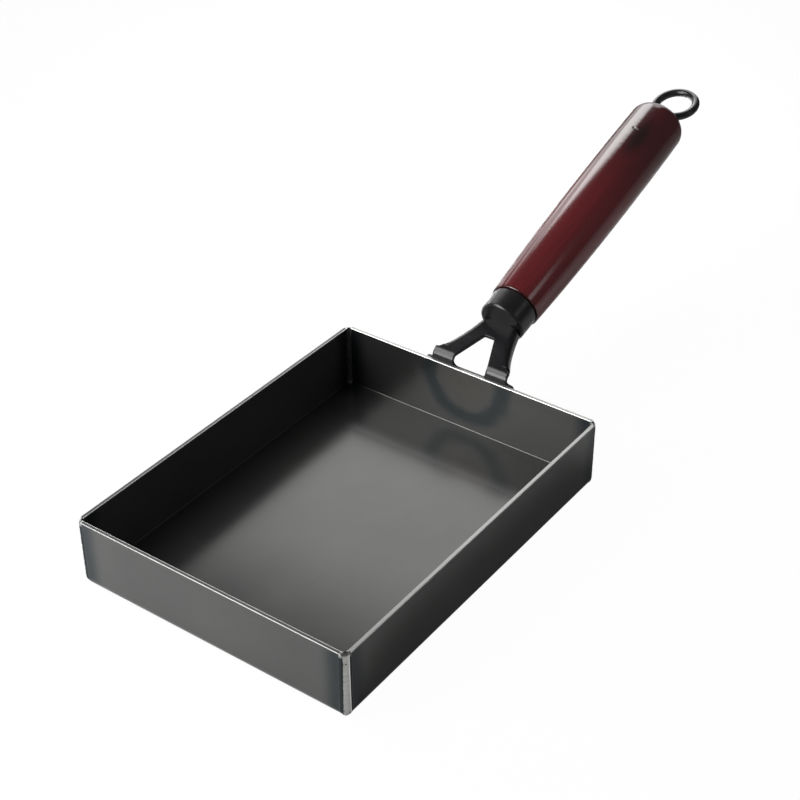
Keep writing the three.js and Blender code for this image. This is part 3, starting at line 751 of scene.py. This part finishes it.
def make_ferrule(material):
    """The moulded cap: rounded in front, open behind for the handle's spigot, slotted for the tang."""
    nose = FERRULE_FRONT + FERRULE_FILLET
    straight = FERRULE_REAR - FERRULE_LIP - nose
    floor_along = FERRULE_FRONT + FERRULE_FLOOR
    profile = [(0, FERRULE_FRONT), (9.0, FERRULE_FRONT)]
    profile += arc(FERRULE_NOSE_R - FERRULE_FILLET, nose, FERRULE_FILLET, -90, 0, 12)
    profile += [(FERRULE_NOSE_R + (FERRULE_R - FERRULE_NOSE_R) * t, nose + straight * t)
                for t in (0.25, 0.5, 0.75)]
    profile += arc(FERRULE_R - FERRULE_LIP, FERRULE_REAR - FERRULE_LIP, FERRULE_LIP, 0, 90, 6)
    profile += [(FERRULE_BORE, FERRULE_REAR), (FERRULE_BORE, floor_along), (0, floor_along)]
    verts, faces = lathe(profile, 128)
    cap = piece("ferrule_cap", verts, faces, material, "ferrule", 35, weighted=True)

    corners = ((-SLOT_X, -SLOT_N), (SLOT_X, -SLOT_N), (SLOT_X, SLOT_N), (-SLOT_X, SLOT_N))
    depths = (REACH - 1, floor_along + 1)
    points, sides, _ = skin([[on_handle(x, along, n) for x, n in corners] for along in depths])
    mesh = bpy.data.meshes.new("slot")
    mesh.from_pydata([Vector(p) * MM for p in points], [], sides + [[3, 2, 1, 0], [4, 5, 6, 7]])
    cutter = bpy.data.objects.new("slot", mesh)
    scene.collection.objects.link(cutter)
    cut = cap.modifiers.new("slot", "BOOLEAN")
    cut.operation, cut.solver, cut.object = "DIFFERENCE", "EXACT", cutter
    bpy.context.view_layer.update()
    cap.modifiers.move(len(cap.modifiers) - 1, 0)
    shaped = bpy.data.meshes.new_from_object(cap.evaluated_get(bpy.context.evaluated_depsgraph_get()))
    cap.modifiers.clear()
    cap.data = shaped
    bpy.data.objects.remove(cutter)
    return cap


def wood_radius(distance):
    """The grip's radius at a distance behind its front."""
    if distance < WOOD_SWELL:
        return WOOD_R - WOOD_NECK * (1 - distance / WOOD_SWELL) ** 2.3
    return WOOD_R - WOOD_TAIL * ((distance - WOOD_SWELL) / (WOOD_LENGTH - DOME - WOOD_SWELL)) ** 2


def make_wood(material):
    """The turned grip with its spigot, the hole for the eye bolt and a nick near the end."""
    spigot = WOOD_FRONT - SPIGOT
    profile = [(COUNTERBORE_R, spigot), (SPIGOT_R - SPIGOT_EDGE, spigot), (SPIGOT_R, spigot + SPIGOT_EDGE),
               (SPIGOT_R, WOOD_FRONT)]
    profile += arc(wood_radius(WOOD_EDGE) - WOOD_EDGE, WOOD_FRONT + WOOD_EDGE, WOOD_EDGE, -90, 0, 8)
    stop = WOOD_LENGTH - DOME
    stations = [WOOD_EDGE + (stop - WOOD_EDGE) * i / 90 for i in range(1, 91)]
    stations += [NICK_ALONG - WOOD_FRONT + 0.15 * i for i in range(-7, 8)]
    profile += [(wood_radius(t), WOOD_FRONT + t) for t in sorted(stations)]
    profile += arc(DOME_R - DOME, WOOD_END - DOME, DOME, 0, 90, 24)[1:]
    profile += [(BORE_R + BORE_EDGE, WOOD_END), (BORE_R, WOOD_END - BORE_EDGE), (BORE_R, COUNTERBORE_END),
                (COUNTERBORE_R, COUNTERBORE_END), (COUNTERBORE_R, spigot)]
    verts, faces = lathe(profile, 160)
    for i, (x, y, z) in enumerate(verts):
        along = COS * (y - HALF_Y) + SIN * (z - AXIS_Z)
        lift = COS * (z - AXIS_Z) - SIN * (y - HALF_Y)
        shape = 1 - ((x - NICK_X) / NICK_HALF_X) ** 2 - ((along - NICK_ALONG) / NICK_HALF_ALONG) ** 2
        if lift > 0 and shape > 0:
            verts[i] = on_handle(x, along, lift - NICK_DEPTH * shape)
    return piece("turned_grip", verts, faces, material, "wood_handle", 35)


def make_eye(material):
    """The eye bolt: a shank, a neck bent to one side and one turn of wire that ends under the neck."""
    neck_turn = math.asin(NECK_R / (EYE_R + NECK_R))
    neck_start = EYE_CENTRE - (EYE_R + NECK_R) * math.cos(neck_turn)
    points = [Vector((0, SHANK_START + (neck_start - SHANK_START) * i / SHANK_STEPS, 0))
              for i in range(SHANK_STEPS)]
    for i in range(NECK_STEPS):
        t = (math.pi / 2 - neck_turn) * i / NECK_STEPS
        points.append(Vector((NECK_R * (1 - math.cos(t)), neck_start + NECK_R * math.sin(t), 0)))
    whole = 2 * math.pi - 2 * neck_turn
    for i in range(EYE_STEPS + 1):
        t = neck_turn + whole * i / EYE_STEPS
        points.append(Vector((EYE_R * math.sin(t), EYE_CENTRE - EYE_R * math.cos(t),
                              -EYE_PITCH * i / EYE_STEPS)))
    radii = [WIRE - WIRE_EASE] * len(points)
    radii[0] = radii[-1] = WIRE - WIRE_EASE - WIRE_EDGE
    verts, faces = tube(points, radii, 32)
    return piece("hanging_eye", verts, faces, material, "eye_bolt", 50)


def make_washer(material):
    edge = WASHER_EDGE
    profile = [(WASHER_BORE, WASHER_FRONT)]
    profile += arc(WASHER_R - edge, WASHER_FRONT + edge, edge, -90, 0, 5)
    profile += arc(WASHER_R - edge, WASHER_REAR - edge, edge, 0, 90, 5)
    profile += [(WASHER_BORE + edge, WASHER_REAR), (WASHER_BORE, WASHER_REAR - edge),
                (WASHER_BORE, WASHER_FRONT)]
    verts, faces = lathe(profile, 96)
    return piece("plain_washer", verts, faces, material, "eye_washer", 35)


# The pan

steel, ground, paint = blued_steel(), ground_steel(), black_paint()
tray = make_tray(steel)
for weld_end in ("front", "back"):
    for weld_side in ("left", "right"):
        make_corner_weld(weld_end, weld_side, ground)
make_bracket(paint)
make_bead(paint)
make_ferrule(black_moulding())
make_wood(lacquered_wood())
wire_finish = black_wire()
make_eye(wire_finish)
make_washer(wire_finish)
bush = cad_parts["tang_bush"]
bush.data.materials.clear()
bush.data.materials.append(plain_steel())


# Floor and world: white to the camera, much dimmer in reflections

def seen_share(tree, by_camera, in_reflections):
    rays = node(tree, "ShaderNodeLightPath").outputs
    bounced = maths(tree, "ADD", rays["Is Glossy Ray"], rays["Is Transmission Ray"])
    bounced = maths(tree, "MULTIPLY", bounced, in_reflections)
    return maths(tree, "MULTIPLY_ADD", rays["Is Camera Ray"], by_camera, bounced)


WHITE = (1, 1, 1, 1)
FLOOR_REACH = 12  # metres
FLOOR_DROP = 0.0002  # metres, to keep clear of the pan's underside
corners = [(-FLOOR_REACH, -FLOOR_REACH, 0), (FLOOR_REACH, -FLOOR_REACH, 0),
           (FLOOR_REACH, FLOOR_REACH, 0), (-FLOOR_REACH, FLOOR_REACH, 0)]
floor_mesh = bpy.data.meshes.new("floor")
floor_mesh.from_pydata(corners, [], [(0, 1, 2, 3)])
floor = bpy.data.objects.new("floor", floor_mesh)
scene.collection.objects.link(floor)
floor.location.z = -FLOOR_DROP
floor_finish = bpy.data.materials.new("floor")
floor_finish.use_nodes = True
floor_tree = floor_finish.node_tree
floor_tree.nodes.remove(floor_tree.nodes["Principled BSDF"])
pale = node(floor_tree, "ShaderNodeBsdfDiffuse", {"Color": (0.85, 0.85, 0.85, 1)})
white = node(floor_tree, "ShaderNodeEmission", {"Color": WHITE, "Strength": 1.0})
floor_share = seen_share(floor_tree, 0.98, 0.06)
floor_mix = node(floor_tree, "ShaderNodeMixShader", {0: floor_share, 1: pale.outputs[0], 2: white.outputs[0]})
floor_tree.links.new(floor_mix.outputs[0], floor_tree.nodes["Material Output"].inputs["Surface"])
floor_mesh.materials.append(floor_finish)

world = bpy.data.worlds.new("studio")
scene.world = world
world.use_nodes = True
sky = world.node_tree
dim = sky.nodes["Background"]
dim.inputs["Color"].default_value = WHITE
dim.inputs["Strength"].default_value = 0.06
plain = node(sky, "ShaderNodeBackground", {"Color": WHITE, "Strength": 1.0})
sky_share = seen_share(sky, 1.0, 0.03)
sky_mix = node(sky, "ShaderNodeMixShader", {0: sky_share, 1: dim.outputs[0], 2: plain.outputs[0]})
sky.links.new(sky_mix.outputs[0], sky.nodes["World Output"].inputs["Surface"])


# Lamps

def softbox(name, place, facing, size, bright):
    """A rectangular soft light at a place in metres, turned to a point."""
    light = bpy.data.lights.new(name, "AREA")
    light.shape = "RECTANGLE"
    light.size, light.size_y = size
    light.energy = bright * math.pi * size[0] * size[1]
    lamp = bpy.data.objects.new(name, light)
    scene.collection.objects.link(lamp)
    lamp.location = place
    lamp.rotation_euler = (Vector(facing) - Vector(place)).to_track_quat("-Z", "Y").to_euler()
    lamp.visible_camera = False
    return lamp


panel = softbox("back_panel", (-0.875, 1.16, 0.525), (-0.875, 0.347, -0.057), (1.55, 1.168), 2.25)
core = softbox("panel_core", (-0.85, 0.955, 0.8085), (-0.85, 0.142, 0.2265), (0.70, 0.70), 3.7)
fill = softbox("right_fill", (0.75, 0.15, 0.45), (0, 0.12, 0.05), (0.70, 0.70), 1.9)
fill.visible_glossy = False
# One lamp for the floor alone
spot = softbox("left_floor", (-0.26, 0.42, 0.50), (-0.24, 0.40, 0.0), (0.30, 0.30), 4.5)
spot.data.spread = math.radians(50)
spot.visible_glossy = False
spot.light_linking.receiver_collection = bpy.data.collections.new("lit_by_left_floor")
spot.light_linking.receiver_collection.objects.link(floor)
# Three lamps that spare the floor, and one of them the tray too
for lamp_object, spared in ((panel, [floor]), (core, [floor, tray]), (fill, [floor])):
    unlit = bpy.data.collections.new(f"not_lit_by_{lamp_object.name}")
    for spared_object in spared:
        unlit.objects.link(spared_object)
    for link in unlit.collection_objects:
        link.light_linking.link_state = "EXCLUDE"
    lamp_object.light_linking.receiver_collection = unlit
softbox("left_card", (-2.2, 1.0, 0.30), (0, 0.15, 0.05), (1.4, 0.55), 2.2)
softbox("front_left", (-0.251, -0.574, 0.269), (0, 0.08, 0.02), (0.36, 0.42), 10.2)
softbox("left_top", (-0.322, -0.146, 0.48), (0, 0.05, 0.03), (0.40, 0.38), 6.0)
softbox("right_glint", (0.81, 0.37, 0.60), (0, 0.15, 0.06), (0.25, 0.25), 0.9)

# Camera: its place in metres, and the picture's axes in the pan's frame
SENSOR = 36.0
FOCAL_PIXELS, PICTURE_PIXELS = 1703.495, 800
CAMERA_PLACE = Vector((0.396842, -0.503185, 0.519106))
CAMERA_RIGHT = Vector((0.810870, 0.585206, -0.004838))
CAMERA_DOWN = Vector((0.329820, -0.463800, -0.822259))
CAMERA_AHEAD = Vector((-0.483435, 0.665149, -0.569094))
camera_data = bpy.data.cameras.new("camera")
camera_data.sensor_fit = "HORIZONTAL"
camera_data.sensor_width = SENSOR
camera_data.lens = FOCAL_PIXELS / PICTURE_PIXELS * SENSOR
camera_data.clip_start, camera_data.clip_end = 0.01, 100
camera = bpy.data.objects.new("camera", camera_data)
scene.collection.objects.link(camera)
turned = Matrix((CAMERA_RIGHT, -CAMERA_DOWN, -CAMERA_AHEAD)).transposed().to_4x4()
camera.matrix_world = Matrix.Translation(CAMERA_PLACE) @ turned
scene.camera = camera
scene.view_settings.view_transform = "Standard"
